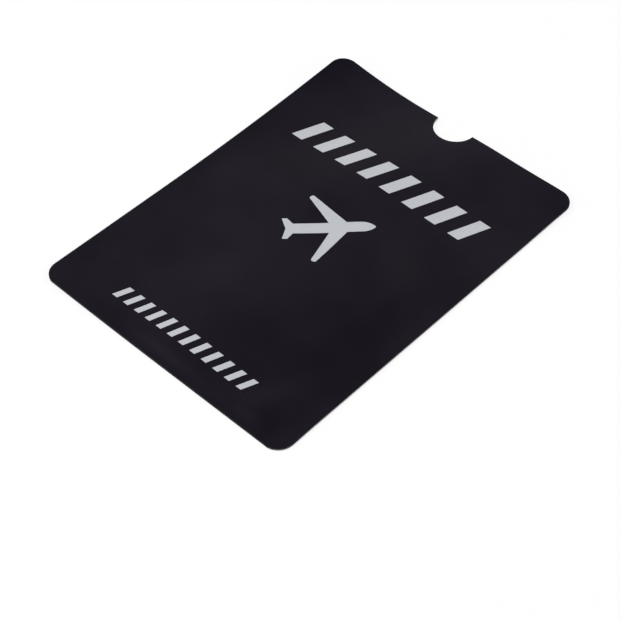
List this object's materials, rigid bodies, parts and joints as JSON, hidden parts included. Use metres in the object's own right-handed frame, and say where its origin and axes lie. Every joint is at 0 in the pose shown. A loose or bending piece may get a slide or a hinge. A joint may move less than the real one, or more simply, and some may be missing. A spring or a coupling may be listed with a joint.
{
  "type": "shielding passport sleeve",
  "caption": "Flat passport-size pocket of foil-lined black laminate, folded at one end and glued down both sides, open at the mouth with a thumb notch; its front lifts over a booklet.",
  "frame": {"origin": "centre of the sleeve's outline, on the outer face of the back that it lies on", "axes": "+X to the right and +Y to the open mouth as the front is read, +Z out of the printed front"},
  "size_m": [0.096, 0.131, 0.0006],
  "materials": {
    "cover": "satin",
    "shield_foil": "satin",
    "glue": "satin",
    "silver_print": "satin"
  },
  "bodies": {
    "back": {"back_panel": "cover", "back_shield": "shield_foil", "end_fold": "cover", "fold_shield": "shield_foil", "left_seam": "glue", "right_seam": "glue"},
    "front": {"front_panel": "cover", "front_shield": "shield_foil", "upper_bar_row": "silver_print", "plane_print": "silver_print", "lower_bar_row": "silver_print"}
  },
  "joints": [
    {"name": "front_lift", "type": "slide", "parent": "back", "child": "front", "axis": [0, 0, 1], "range_m": [0, 0.0035], "stiffness_N_per_m": 80}
  ]
}
